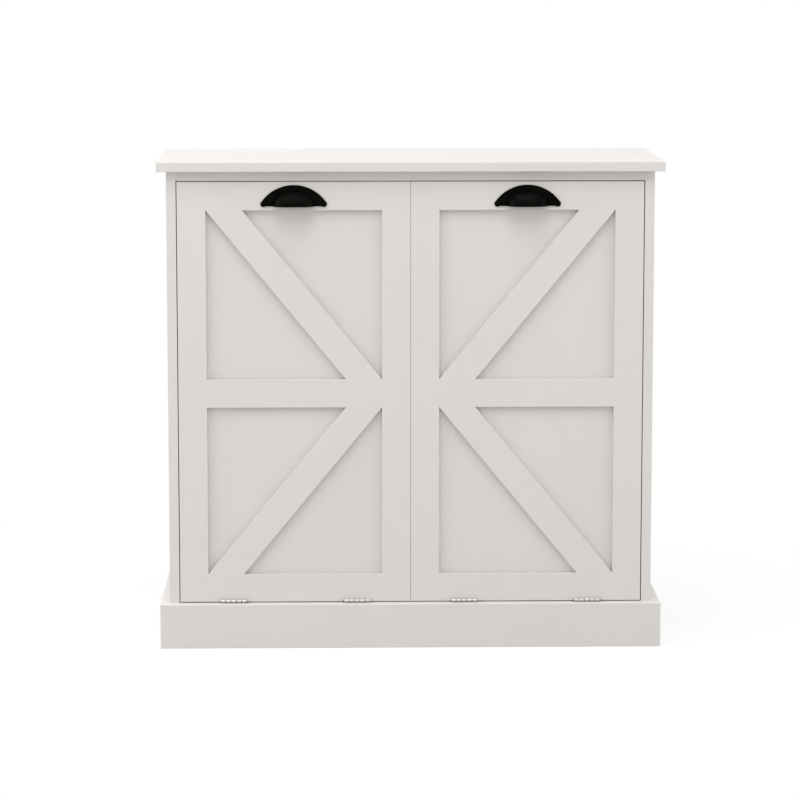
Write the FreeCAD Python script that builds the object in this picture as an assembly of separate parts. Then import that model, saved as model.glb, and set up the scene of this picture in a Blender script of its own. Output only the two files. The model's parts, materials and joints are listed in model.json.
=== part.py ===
import FreeCAD
import Part
import math
import os

V = FreeCAD.Vector

# Two-door tilt-out cabinet, in millimetres. The origin is on the floor under the middle of the cabinet,
# +X is to the right of someone facing it, the front faces -Y and +Z is up.

# Overall size
WIDTH = 900.0
DEPTH = 350.0
HEIGHT = 875.0

# Carcass boards
BOARD = 17.0            # top, sides, rails, bottom and divider
PLINTH_T = 17.0         # plinth boards, which set how far top and plinth stand out
PLINTH_H = 80.0
FRONT_RAIL_W = 70.0
REAR_RAIL_H = 80.0
EDGE_BREAK = 0.8        # eased edge on painted boards
BACK_T = 5.0
BACK_INSET = 10.0       # from the rear edges of the sides to the back panel
GROOVE = 8.0            # depth of the grooves that hold the back panel
GROOVE_PLAY = 0.15

# Doors
DOOR_PANEL_T = 10.0
OVERLAY_T = 8.0
DOOR_GAP = 1.5          # at the sides and the top of the doors
MIDDLE_GAP = 0.4        # between the two doors
FOOT_GAP = 0.3          # from the lower hinge leaves up to the doors
DIVIDER_GAP = 0.6       # from the back of the doors to the divider
MEMBER = 51.0           # width of the stiles and rails of the overlay
BRACE = 50.0            # width of its diagonal braces
OVERLAY_BREAK = 0.6
TILT = 35.0             # degrees that a door tilts out

# Butt hinges
HINGE_L = 48.0
HINGE_PITCH = 222.0     # between the two hinges of a door
KNUCKLES = 5
KNUCKLE_R = 3.0
KNUCKLE_GAP = 0.5       # between one knuckle and the next
KNUCKLE_BREAK = 0.4     # eased ends of the knuckles
BARREL_GAP = 0.3        # from the barrel to the door face and the plinth
PIN_R = 1.5
PIN_PLAY = 0.05
LEAF_T = 1.2
LEAF_W = 16.0
LEAF_GAP = 0.6          # between the leaves of a closed hinge
LEAF_PLAY = 0.3         # round an upper leaf let into the bottom edge of its door
LEAF_SCREW_PITCH = 28.0
LEAF_SCREW_EDGE = 5.0   # from the rear edge of the leaf

# Cup pulls
PULL_W = 118.0
PULL_H = 39.0
PULL_DEPTH = 25.0
PULL_RIM = 3.2          # width of the raised border of the plate
PULL_RIM_T = 2.4
PULL_FIELD = 0.8        # from the border down to the rest of the plate
PULL_BREAK = 0.7        # eased front edge of the plate
PULL_WALL = 2.2
PULL_LOBE_R = 5.5
PULL_MEET_DEG = 58.0    # where the arch of the plate meets an end lobe, up from its level side
PULL_LIP = 1.5          # height of the open lip above the foot of the lobes
CUP_W = 74.0
CUP_H = 28.0
CUP_STEPS = 4           # sections on each side of the middle of the cup
CUP_END_DEG = 84.0      # turn at which the last section stands, with 90 at the point of the cup
PULL_PITCH = 64.0       # between the two screw posts
POST_R = 4.0
POST_Z = 9.0

# Carrier box behind each door
CHEEK_T = 12.0
TRAY_T = 12.0
REAR_T = 12.0
CARRIER_LIFT = 12.0     # above the bottom panel
CARRIER_BACK_GAP = 30.0
DIVIDER_SIDE_GAP = 5.0
FRONT_DROP = 141.0      # from the front rail down to the front of the cheeks
REAR_DROP = 241.0       # from the front rail down to the rear of the cheeks
REAR_BOARD_DROP = 12.0  # from the rear of the cheeks down to the rear board
CHEEK_ROUND = 40.0

# Slotted limit stays between the side panels and the carriers
STAY_GAP = 10.0         # from side panel to carrier
STAY_T = 2.0
STAY_W = 14.0
STAY_R = 240.0          # from the hinge axis to pivot and to stud
STAY_PIVOT_DEG = 10.0   # of the pivot, up from the level line behind the hinge axis
STAY_STUD_DEG = 28.0    # of the stud with the door shut
SLOT_PLAY = 0.3
STUD_R = 2.5
PIVOT_R = 3.0
PIVOT_PLAY = 0.05
STAY_SIDE_PLAY = 0.2
STAY_HEAD_R = 5.5
STAY_HEAD_T = 1.8

# Magnetic catches
CATCH_W = 44.0
CATCH_D = 16.0
CATCH_H = 14.0
CATCH_GAP = 0.3         # from pole plates to strike plate
CATCH_SCREW_PITCH = 32.0
MAGNET_W = 20.0
MAGNET_D = 10.0
MAGNET_H = 6.0
POLE_T = 1.0
POLE_PROUD = 0.3
STRIKE_W = 44.0
STRIKE_H = 12.0
STRIKE_T = 1.2
STRIKE_DROP = 2.0       # below the top edge of the door

# Board fittings
DOWEL_R = 4.0
DOWEL_FACE = 10.0       # depth in the face of a board
DOWEL_EDGE = 20.0       # depth in the edge of a board
DOWEL_END = 0.5
CAM_R = 7.5
CAM_DEPTH = 12.5
CAM_REACH = 24.0        # from the edge of a board to the middle of the cam
BOLT_R = 3.0
BOLT_NECK_R = 2.0
BOLT_THREAD_R = 2.5
BOLT_THREAD = 11.0
BOLT_BORE_PLAY = 0.6
DRIVE_L = 8.0           # cross recess of the cams
DRIVE_W = 1.4
JOINT_INSET = 58.0      # first fitting from the end of a board
JOINT_STEP = 40.0       # from a cam to the dowel beside it
RAIL_INSET = 24.0       # fittings in from the edges of the rails
PLINTH_INSET = 36.0

# Screws: shank radius, head radius, head height and length
HINGE_SCREW = (1.3, 2.4, 1.2, 12.0)
CATCH_SCREW = (1.5, 3.0, 1.5, 24.0)
STRIKE_SCREW = (1.2, 2.2, 1.1, 9.0)
CARRIER_SCREW = (1.75, 3.5, 2.2, 40.0)
PLINTH_SCREW = (1.75, 3.5, 2.2, 29.0)
PULL_SCREW = (2.0, 4.0, 2.4, 26.0)
SCREW_PLAY = 0.25       # round a machine screw that passes through a board

# Planes that the pieces share; the pulls stand out past the plinth, and the origin halves that depth too
PULL_PROUD = max(0.0, PULL_DEPTH - PLINTH_T)
FRONT = (PULL_PROUD - DEPTH) / 2
BACK = FRONT + DEPTH
FACE = FRONT + PLINTH_T
OUT_X = WIDTH / 2 - PLINTH_T
IN_X = OUT_X - BOARD
TOP_Z = HEIGHT - BOARD
RAIL_Z = TOP_Z - BOARD
BASE_Z = PLINTH_H - BOARD
BACK_Y = BACK - BACK_INSET - BACK_T
DOOR_T = DOOR_PANEL_T + OVERLAY_T
DOOR_BACK = FACE + DOOR_T
DOOR_Z0 = PLINTH_H + LEAF_T + FOOT_GAP
LEAF_Z = PLINTH_H + LEAF_T + LEAF_GAP
DOOR_Z1 = RAIL_Z - DOOR_GAP
DOOR_X = (IN_X - DOOR_GAP + MIDDLE_GAP / 2) / 2
PULL_Z = DOOR_Z1 - MEMBER / 2 - PULL_H / 2
AXIS_Y = FACE - KNUCKLE_R - BARREL_GAP
AXIS_Z = PLINTH_H + KNUCKLE_R + BARREL_GAP
CARRIER_Y1 = BACK_Y - CARRIER_BACK_GAP
CARRIER_Z0 = PLINTH_H + CARRIER_LIFT
CHEEK_OUT_X = IN_X - STAY_GAP
CHEEK_IN_X = BOARD / 2 + DIVIDER_SIDE_GAP
SIDES = {"left": -1, "right": 1}


def box(x, y, z):
    """Block between two limits along each axis, given in either order."""
    low = V(min(x), min(y), min(z))
    high = V(max(x), max(y), max(z))
    size = high - low
    return Part.makeBox(size.x, size.y, size.z, low)


def rod(start, along, radius, length):
    """Round bar from a point along a direction."""
    return Part.makeCylinder(radius, length, start, along)


def sweep(points, along):
    """Straight extrusion of a closed outline."""
    return Part.Face(Part.makePolygon(points + points[:1])).extrude(along)


def ease(shape, size, wanted):
    """Small flat along the edges that the test picks."""
    return shape.makeChamfer(size, [edge for edge in shape.Edges if wanted(edge)])


def straight_at(edge, axis, value):
    """Whether both ends of an edge lie in one plane across an axis."""
    return all(abs(getattr(v.Point, axis) - value) < 1e-6 for v in edge.Vertexes)


def spread(low, high, inset, count):
    """Even positions between two ends, the first and last set in from them."""
    step = (high - low - 2 * inset) / (count - 1)
    return [low + inset + step * i for i in range(count)]


def screw(start, along, sizes):
    """Countersunk screw whose flat head starts at a point and whose shank runs along a direction."""
    shank_r, head_r, head_h, length = sizes
    head = Part.makeCone(head_r, shank_r, head_h, start, along)
    return head.fuse(rod(start + along * head_h, along, shank_r, length - head_h)).removeSplitter()


def dowel(point, into_edge, end_gap=0.0):
    """Wooden dowel across a joint, or its holes when they run past its ends."""
    start = point - into_edge * (DOWEL_FACE + end_gap)
    return rod(start, into_edge, DOWEL_R, DOWEL_FACE + DOWEL_EDGE + 2 * end_gap)


def cam_bolt(point, into_edge):
    """Bolt screwed into the face of one board, with a necked head that the cam draws in."""
    thread = rod(point - into_edge * BOLT_THREAD, into_edge, BOLT_THREAD_R, BOLT_THREAD)
    neck = rod(point, into_edge, BOLT_NECK_R, CAM_REACH)
    shank = rod(point, into_edge, BOLT_R, CAM_REACH - CAM_R)
    head = rod(point + into_edge * (CAM_REACH - BOLT_R), into_edge, BOLT_R, BOLT_R)
    return thread.fuse([neck, shank, head]).removeSplitter()


def bolt_bore(point, into_edge):
    """Hole along the edge of a board for the bolt."""
    return rod(point, into_edge, BOLT_R + BOLT_BORE_PLAY, CAM_REACH + BOLT_BORE_PLAY)


def cam_pocket(point, into_edge, into_face):
    """Blind hole for the cam, drilled from the face of the board."""
    centre = point + into_edge * CAM_REACH - into_face * (BOARD / 2)
    return rod(centre, into_face, CAM_R, CAM_DEPTH)


def cam_lock(point, into_edge, into_face):
    """Cam with the opening that takes the bolt head and a cross recess to turn it."""
    across = into_edge.cross(into_face)
    top = point + into_edge * CAM_REACH - into_face * (BOARD / 2)
    body = cam_pocket(point, into_edge, into_face).cut(bolt_bore(point, into_edge))
    for long, short in ((into_edge, across), (across, into_edge)):
        corner = top - long * (DRIVE_L / 2) - short * (DRIVE_W / 2)
        outline = [corner, corner + long * DRIVE_L, corner + long * DRIVE_L + short * DRIVE_W]
        outline.append(corner + short * DRIVE_W)
        body = body.cut(sweep(outline, into_face * DRIVE_W))
    return body


def cam_joints():
    """Cam joints as point, direction into the edge, drilling direction, face board and edge board."""
    up = V(0, 0, 1)
    down = V(0, 0, -1)
    back = V(0, 1, 0)
    joints = []
    for name, s in SIDES.items():
        side = "side_panel_" + name
        inward = V(-s, 0, 0)
        outward = V(s, 0, 0)
        for y in (FACE + JOINT_INSET, BACK_Y - JOINT_INSET):
            joints.append((V(s * IN_X, y, BASE_Z + BOARD / 2), inward, up, side, "bottom_panel"))
        for y in (FACE + FRONT_RAIL_W + RAIL_INSET, BACK_Y - BOARD - JOINT_INSET):
            joints.append((V(s * (IN_X + BOARD / 2), y, TOP_Z), down, outward, "top_panel", side))
        rail_y = FACE + RAIL_INSET
        joints.append((V(s * IN_X, rail_y, RAIL_Z + BOARD / 2), inward, up, side, "front_rail"))
        rail_z = TOP_Z - RAIL_INSET
        joints.append((V(s * IN_X, BACK_Y - BOARD / 2, rail_z), inward, back, side, "rear_rail"))
    return joints


def dowel_joints():
    """Dowelled joints as point, direction into the edge, face board and edge board."""
    down = V(0, 0, -1)
    up = V(0, 0, 1)
    back = V(0, 1, 0)
    rear_y = BACK_Y - BOARD / 2
    base_mid = BASE_Z + BOARD / 2
    joints = []
    for name, s in SIDES.items():
        side = "side_panel_" + name
        inward = V(-s, 0, 0)
        for y in (FACE + JOINT_INSET + JOINT_STEP, BACK_Y - JOINT_INSET - JOINT_STEP):
            joints.append((V(s * IN_X, y, base_mid), inward, side, "bottom_panel"))
        top_front = FACE + FRONT_RAIL_W + RAIL_INSET + JOINT_STEP
        for y in (top_front, BACK_Y - BOARD - JOINT_INSET + JOINT_STEP):
            joints.append((V(s * (IN_X + BOARD / 2), y, TOP_Z), down, "top_panel", side))
        front_y = FACE + FRONT_RAIL_W - RAIL_INSET
        joints.append((V(s * IN_X, front_y, RAIL_Z + BOARD / 2), inward, side, "front_rail"))
        rail_z = TOP_Z - REAR_RAIL_H + RAIL_INSET
        joints.append((V(s * IN_X, rear_y, rail_z), inward, side, "rear_rail"))
        joints.append((V(s * IN_X, rear_y, BASE_Z / 2), inward, side, "plinth_rear"))
        joints.append((V(s * (OUT_X + PLINTH_T / 2), FACE, PLINTH_H / 2), back, "plinth_front",
                       "plinth_" + name))
        joints.append((V(s * (IN_X - JOINT_INSET), rear_y, BASE_Z), down, "bottom_panel", "plinth_rear"))
        for x in (IN_X - PLINTH_INSET, DOOR_X):
            joints.append((V(s * x, FACE, base_mid), back, "plinth_front", "bottom_panel"))
    for y in (FACE + JOINT_INSET, BACK_Y - JOINT_INSET):
        joints.append((V(0, y, PLINTH_H), up, "bottom_panel", "centre_divider"))
    joints.append((V(0, FACE + FRONT_RAIL_W / 2, RAIL_Z), down, "front_rail", "centre_divider"))
    notch_z = (TOP_Z - REAR_RAIL_H + RAIL_Z) / 2
    joints.append((V(0, BACK_Y - BOARD, notch_z), V(0, -1, 0), "rear_rail", "centre_divider"))
    return joints


def plinth_screws():
    """Screws from inside the side panels into the side plinth boards, by side."""
    found = {}
    for name, s in SIDES.items():
        places = spread(FACE, BACK, JOINT_INSET, 3)
        found[name] = [screw(V(s * IN_X, y, PLINTH_INSET), V(s, 0, 0), PLINTH_SCREW) for y in places]
    return found


def hinge_places(s):
    """Middle of each hinge of a door along X."""
    return [s * DOOR_X - HINGE_PITCH / 2, s * DOOR_X + HINGE_PITCH / 2]


def leaf_screw_points(s):
    """Plan position of each screw in the leaves of a door's hinges."""
    y = FACE + LEAF_W - LEAF_SCREW_EDGE
    half = LEAF_SCREW_PITCH / 2
    return [V(x + side * half, y, 0) for x in hinge_places(s) for side in (-1, 1)]


def base_leaf_screws(s):
    """Screws that hold the lower leaves on the bottom panel."""
    level = V(0, 0, PLINTH_H + LEAF_T)
    return [screw(p + level, V(0, 0, -1), HINGE_SCREW) for p in leaf_screw_points(s)]


def door_leaf_screws(s):
    """Screws that hold the upper leaves in the bottom edge of the door."""
    level = V(0, 0, LEAF_Z)
    return [screw(p + level, V(0, 0, 1), HINGE_SCREW) for p in leaf_screw_points(s)]


def leaf_pockets(s):
    """Shallow pockets in the bottom edge of a door for the upper leaves."""
    half = HINGE_L / 2 + LEAF_PLAY
    y = (FACE, FACE + LEAF_W + LEAF_PLAY)
    return [box((x - half, x + half), y, (DOOR_Z0, LEAF_Z + LEAF_T)) for x in hinge_places(s)]


def hinge_leaf(x, z, wanted, bore_r):
    """One leaf: flat plate, and the rolled knuckles that it owns in the barrel."""
    pitch = HINGE_L / KNUCKLES
    leaf = box((x - HINGE_L / 2, x + HINGE_L / 2), (FACE, FACE + LEAF_W), (z, z + LEAF_T))
    for i in wanted:
        start = x - HINGE_L / 2 + pitch * i + KNUCKLE_GAP / 2
        length = pitch - KNUCKLE_GAP
        roll = rod(V(start, AXIS_Y, AXIS_Z), V(1, 0, 0), KNUCKLE_R, length)
        roll = ease(roll, KNUCKLE_BREAK, lambda edge: edge.isClosed())
        tab = box((start, start + length), (AXIS_Y, FACE), (z, z + LEAF_T))
        leaf = leaf.fuse([roll, tab])
    bore = rod(V(x - HINGE_L / 2, AXIS_Y, AXIS_Z), V(1, 0, 0), bore_r, HINGE_L)
    return leaf.cut(bore).removeSplitter()


def hinge_pin(x):
    """Pin through the whole barrel."""
    return rod(V(x - HINGE_L / 2, AXIS_Y, AXIS_Z), V(1, 0, 0), PIN_R, HINGE_L)


def side_panel(s):
    """Side of the carcass, down to the floor, with the groove for the back panel."""
    panel = box((s * IN_X, s * OUT_X), (FACE, BACK), (0, TOP_Z))
    groove_y = (BACK_Y - GROOVE_PLAY, BACK_Y + BACK_T + GROOVE_PLAY)
    groove = box((s * IN_X, s * (IN_X + GROOVE + GROOVE_PLAY)), groove_y, (BASE_Z, TOP_Z))
    return panel.cut(groove)


def top_panel():
    """Top with eased edges all round."""
    slab = box((-WIDTH / 2, WIDTH / 2), (FRONT, BACK), (TOP_Z, HEIGHT))
    return ease(slab, EDGE_BREAK, lambda edge: True)


def plinth_front():
    """Front plinth board, which covers the ends of the side boards."""
    board = box((-WIDTH / 2, WIDTH / 2), (FRONT, FACE), (0, PLINTH_H))
    return ease(board, EDGE_BREAK, lambda edge: straight_at(edge, "y", FRONT))


def plinth_side(s):
    """Side plinth board behind the front one."""
    board = box((s * OUT_X, s * WIDTH / 2), (FACE, BACK), (0, PLINTH_H))
    return ease(board, EDGE_BREAK, lambda edge: straight_at(edge, "x", s * WIDTH / 2)
                and not straight_at(edge, "y", FACE))


def centre_divider():
    """Upright between the two carriers, notched round the rear rail."""
    board = box((-BOARD / 2, BOARD / 2), (DOOR_BACK + DIVIDER_GAP, BACK_Y), (PLINTH_H, RAIL_Z))
    notch = box((-BOARD / 2, BOARD / 2), (BACK_Y - BOARD, BACK_Y), (TOP_Z - REAR_RAIL_H, RAIL_Z))
    return board.cut(notch)


def back_panel():
    """Thin back held in the grooves of the sides."""
    half = IN_X + GROOVE
    return box((-half, half), (BACK_Y, BACK_Y + BACK_T), (BASE_Z, TOP_Z))


def carcass_boards():
    """Every board of the carcass before it is drilled."""
    span = (-IN_X, IN_X)
    rear = (BACK_Y - BOARD, BACK_Y)
    boards = {
        "top_panel": top_panel(),
        "centre_divider": centre_divider(),
        "bottom_panel": box(span, (FACE, BACK_Y), (BASE_Z, PLINTH_H)),
        "front_rail": box(span, (FACE, FACE + FRONT_RAIL_W), (RAIL_Z, TOP_Z)),
        "rear_rail": box(span, rear, (TOP_Z - REAR_RAIL_H, TOP_Z)),
        "back_panel": back_panel(),
        "plinth_front": plinth_front(),
        "plinth_rear": box(span, rear, (0, BASE_Z)),
    }
    for name, s in SIDES.items():
        boards["side_panel_" + name] = side_panel(s)
        boards["plinth_" + name] = plinth_side(s)
    return boards


def stay_point(degrees):
    """Point on the circle round the hinge axis that pivot and stud share, as Y and Z."""
    angle = math.radians(degrees)
    return AXIS_Y + STAY_R * math.cos(angle), AXIS_Z + STAY_R * math.sin(angle)


def stay_reach(degrees):
    """Distance from the pivot to the stud when the stud stands at an angle."""
    return 2 * STAY_R * math.sin(math.radians(degrees - STAY_PIVOT_DEG) / 2)


def stay_planes(s):
    """Faces of a stay along X, the one towards the side panel first."""
    middle = IN_X - STAY_GAP / 2
    return s * (middle + STAY_T / 2), s * (middle - STAY_T / 2)


def stay_arm(s):
    """Slotted stay, drawn level behind its pivot and then turned to the stud of the shut door."""
    y, z = stay_point(STAY_PIVOT_DEG)
    near = stay_reach(STAY_STUD_DEG)
    far = stay_reach(STAY_STUD_DEG + TILT)
    outer, inner = stay_planes(s)
    along = V(1, 0, 0)
    low = min(outer, inner)

    def bar(start, end, radius):
        ends = [rod(V(low, y + at, z), along, radius, STAY_T) for at in (start, end)]
        middle = box((outer, inner), (y + start, y + end), (z - radius, z + radius))
        return middle.fuse(ends).removeSplitter()

    arm = bar(0, far, STAY_W / 2)
    arm = arm.cut(bar(near, far, STUD_R + SLOT_PLAY))
    arm = arm.cut(rod(V(low, y, z), along, PIVOT_R + PIVOT_PLAY, STAY_T))
    lean = 90 + (STAY_PIVOT_DEG + STAY_STUD_DEG) / 2
    arm.rotate(V(0, y, z), along, lean)
    return arm


def shouldered_pin(root, along, collar_l, radius):
    """Pin with a thread into a board, a collar, a shoulder through the stay and a head beyond it."""
    shoulder_l = STAY_T + 2 * STAY_SIDE_PLAY
    thread = rod(root - along * BOLT_THREAD, along, BOLT_NECK_R, BOLT_THREAD)
    collar = rod(root, along, STAY_HEAD_R, collar_l)
    shoulder = rod(root + along * collar_l, along, radius, shoulder_l)
    head = rod(root + along * (collar_l + shoulder_l), along, STAY_HEAD_R, STAY_HEAD_T)
    return thread.fuse([collar, shoulder, head]).removeSplitter()


def stay_pivot(s):
    """Pivot of the stay on the side panel."""
    y, z = stay_point(STAY_PIVOT_DEG)
    collar_l = abs(s * IN_X - stay_planes(s)[0]) - STAY_SIDE_PLAY
    return shouldered_pin(V(s * IN_X, y, z), V(-s, 0, 0), collar_l, PIVOT_R)


def stay_stud(s):
    """Stud on the outer cheek that slides in the stay."""
    y, z = stay_point(STAY_STUD_DEG)
    collar_l = abs(s * CHEEK_OUT_X - stay_planes(s)[1]) - STAY_SIDE_PLAY
    return shouldered_pin(V(s * CHEEK_OUT_X, y, z), V(s, 0, 0), collar_l, STUD_R)


def catch_front():
    """Plane of the pole plates of a catch."""
    return DOOR_BACK + STRIKE_T + CATCH_GAP


def catch_screws(s):
    """Screws up through a catch into the front rail."""
    y = catch_front() + POLE_PROUD + MAGNET_D + (CATCH_D - MAGNET_D) / 2
    half = CATCH_SCREW_PITCH / 2
    return [screw(V(s * DOOR_X + side * half, y, RAIL_Z - CATCH_H), V(0, 0, 1), CATCH_SCREW)
            for side in (-1, 1)]


def catch_magnet(s):
    """Magnet block between the pole plates."""
    y = catch_front() + POLE_PROUD
    x = s * DOOR_X
    z = RAIL_Z - CATCH_H / 2
    return box((x - MAGNET_W / 2, x + MAGNET_W / 2), (y, y + MAGNET_D), (z - MAGNET_H / 2, z + MAGNET_H / 2))


def catch_poles(s):
    """Steel plates above and below the magnet, standing a little proud of the housing."""
    y = catch_front()
    x = s * DOOR_X
    z = RAIL_Z - CATCH_H / 2
    plates = []
    for side in (-1, 1):
        edge = z + side * MAGNET_H / 2
        plates.append(box((x - MAGNET_W / 2, x + MAGNET_W / 2), (y, y + POLE_PROUD + MAGNET_D),
                          (edge, edge + side * POLE_T)))
    return plates


def catch_housing(s):
    """Moulded housing under the front rail, with a pocket for the magnet and its plates."""
    y = catch_front() + POLE_PROUD
    x = s * DOOR_X
    body = box((x - CATCH_W / 2, x + CATCH_W / 2), (y, y + CATCH_D), (RAIL_Z - CATCH_H, RAIL_Z))
    return body.cut([catch_magnet(s)] + catch_poles(s) + catch_screws(s))


def strike_screws(s):
    """Screws through the strike plate into the door."""
    z = DOOR_Z1 - STRIKE_DROP - STRIKE_H / 2
    half = CATCH_SCREW_PITCH / 2
    return [screw(V(s * DOOR_X + side * half, DOOR_BACK + STRIKE_T, z), V(0, -1, 0), STRIKE_SCREW)
            for side in (-1, 1)]


def strike_plate(s):
    """Steel plate on the back of the door that the magnet holds."""
    x = s * DOOR_X
    z = DOOR_Z1 - STRIKE_DROP
    plate = box((x - STRIKE_W / 2, x + STRIKE_W / 2), (DOOR_BACK, DOOR_BACK + STRIKE_T), (z - STRIKE_H, z))
    return plate.cut(strike_screws(s))


def pull_screws(s, play=0.0):
    """Machine screws from the back of the door into the posts of the pull, or their holes."""
    shank_r, head_r, head_h, length = PULL_SCREW
    found = []
    for side in (-1, 1):
        seat = V(s * DOOR_X + side * PULL_PITCH / 2, DOOR_BACK, PULL_Z + POST_Z)
        shank = rod(seat, V(0, -1, 0), shank_r + play, length)
        found.append(shank.fuse(rod(seat, V(0, 1, 0), head_r, head_h)).removeSplitter())
    return found


def cup_section(x, height, depth):
    """Upright section across a cup, from the lip round to the door, running on past both.

    The curve is an arc that stands upright where it leaves the lip.
    """
    past = PULL_WALL
    corners = [V(x, 0, height), V(x, past, height), V(x, past, -past), V(x, -depth, -past), V(x, -depth, 0)]
    lines = [Part.makeLine(a, b) for a, b in zip(corners, corners[1:])]
    radius = (height * height + depth * depth) / (2 * depth)
    half_turn = math.acos((radius - depth) / radius) / 2
    middle = V(x, radius - depth - radius * math.cos(half_turn), radius * math.sin(half_turn))
    return Part.Wire(lines + [Part.Arc(corners[-1], middle, corners[0]).toShape()])


def cup(half, rise, depth):
    """Loft of sections across a cup, with a broad front that turns in at both ends."""
    sections = []
    for i in range(-CUP_STEPS, CUP_STEPS + 1):
        turn = math.radians(CUP_END_DEG * i / CUP_STEPS)
        along = math.sin(turn)
        sections.append(cup_section(half * along, rise * math.cos(turn), depth * math.sqrt(1 - along ** 4)))
    return Part.makeLoft(sections, True)


def pull_plate():
    """Arched plate of a pull with a raised border and round end lobes."""
    lobe = V(PULL_W / 2 - PULL_LOBE_R, 0, PULL_LOBE_R - PULL_LIP)
    turn = math.radians(PULL_MEET_DEG)
    meet = lobe + V(math.cos(turn), 0, math.sin(turn)) * PULL_LOBE_R
    corners = [meet, lobe, V(lobe.x, 0, 0)]
    corners += [V(-p.x, 0, p.z) for p in reversed(corners)]
    lines = [Part.makeLine(a, b) for a, b in zip(corners, corners[1:])]
    curve = Part.Arc(corners[-1], V(0, 0, PULL_H - PULL_LIP), meet).toShape()
    outline = Part.Face(Part.Wire(lines + [curve]))
    plate = outline.extrude(V(0, -PULL_RIM_T, 0))
    plate = ease(plate, PULL_BREAK, lambda edge: straight_at(edge, "y", -PULL_RIM_T)
                 and straight_at(edge, "z", meet.z))
    field = outline.makeOffset2D(-PULL_RIM)
    field.translate(V(0, PULL_FIELD - PULL_RIM_T, 0))
    plate = plate.cut(field.extrude(V(0, -PULL_RIM_T, 0)))
    lobes = []
    for side in (-1, 1):
        disc = rod(V(side * lobe.x, 0, lobe.z), V(0, -1, 0), PULL_LOBE_R, PULL_RIM_T)
        lobes.append(ease(disc, PULL_BREAK, lambda edge: straight_at(edge, "y", -PULL_RIM_T)))
    return plate.fuse(lobes)


def cup_pull(s):
    """Cup pull: plate, hollow cup open below, and two screw posts inside the cup."""
    shell = cup(CUP_W / 2, CUP_H, PULL_DEPTH)
    shell = shell.common(box((-CUP_W, CUP_W), (0, -2 * PULL_DEPTH), (0, 2 * CUP_H)))
    hollow = cup(CUP_W / 2 - PULL_WALL, CUP_H - PULL_WALL, PULL_DEPTH - PULL_WALL)
    posts = []
    for side in (-1, 1):
        start = V(side * PULL_PITCH / 2, 0, POST_Z - PULL_LIP)
        posts.append(rod(start, V(0, -1, 0), POST_R, PULL_DEPTH).common(shell))
    body = pull_plate().fuse(shell).cut(hollow).fuse(posts).removeSplitter()
    body.translate(V(s * DOOR_X, FACE, PULL_Z + PULL_LIP))
    return body.cut(pull_screws(s))


def brace_run(width, height):
    """Length that a brace of set width takes up along the rail of an opening.

    One edge of the brace starts in a corner of the opening and the other ends in the opposite corner.
    """
    square = BRACE * BRACE
    a = height * height - square
    b = 2 * square * width
    c = -square * (width * width + height * height)
    return (-b + math.sqrt(b * b - 4 * a * c)) / (2 * a)


def overlay_openings(s):
    """Outlines of the four three-cornered openings of a door overlay, in its front plane."""
    outer = s * (IN_X - DOOR_GAP - MEMBER)
    inner = s * (MIDDLE_GAP / 2 + MEMBER)
    height = (DOOR_Z1 - DOOR_Z0 - 3 * MEMBER) / 2
    run = -s * brace_run(abs(outer - inner), height)
    low = DOOR_Z0 + MEMBER
    high = DOOR_Z1 - MEMBER
    outlines = []
    for edge, centre in ((high, high - height), (low, low + height)):
        outlines.append([V(outer, FACE, edge), V(outer, FACE, centre), V(inner - run, FACE, centre)])
        outlines.append([V(outer + run, FACE, edge), V(inner, FACE, edge), V(inner, FACE, centre)])
    return outlines


def door_limits(s):
    """Edges of a door along X."""
    return s * MIDDLE_GAP / 2, s * (IN_X - DOOR_GAP)


def door_overlay(s):
    """Stiles, three rails and two braces cut from one sheet, with eased front edges."""
    sheet = box(door_limits(s), (FACE, FACE + OVERLAY_T), (DOOR_Z0, DOOR_Z1))
    sheet = sheet.cut([sweep(outline, V(0, OVERLAY_T, 0)) for outline in overlay_openings(s)])
    sheet = ease(sheet, OVERLAY_BREAK, lambda edge: straight_at(edge, "y", FACE))
    return sheet.cut(pull_screws(s, SCREW_PLAY) + leaf_pockets(s))


def cheek_limits(s):
    """Faces along X of the outer and the inner cheek, each with its outside first."""
    return {
        "outer": (s * CHEEK_OUT_X, s * (CHEEK_OUT_X - CHEEK_T)),
        "inner": (s * CHEEK_IN_X, s * (CHEEK_IN_X + CHEEK_T)),
    }


def door_panel(s):
    """Plain panel behind the overlay."""
    panel = box(door_limits(s), (FACE + OVERLAY_T, DOOR_BACK), (DOOR_Z0, DOOR_Z1))
    tools = pull_screws(s, SCREW_PLAY) + strike_screws(s) + carrier_screws(s)
    return panel.cut(tools + leaf_pockets(s) + door_leaf_screws(s))


def carrier_screws(s):
    """Screws from the door panel and the cheeks into the carrier boards."""
    found = []
    cheek_z = (CARRIER_Z0, RAIL_Z - REAR_DROP)
    for out, inside in cheek_limits(s).values():
        middle = (out + inside) / 2
        along = V(math.copysign(1, inside - out), 0, 0)
        for z in spread(cheek_z[0], cheek_z[1], JOINT_INSET, 3):
            found.append(screw(V(middle, FACE + OVERLAY_T, z), V(0, 1, 0), CARRIER_SCREW))
            found.append(screw(V(out, CARRIER_Y1 - REAR_T / 2, z), along, CARRIER_SCREW))
        for y in spread(DOOR_BACK, CARRIER_Y1 - REAR_T, JOINT_INSET, 2):
            found.append(screw(V(out, y, CARRIER_Z0 + TRAY_T / 2), along, CARRIER_SCREW))
    return found


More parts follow.
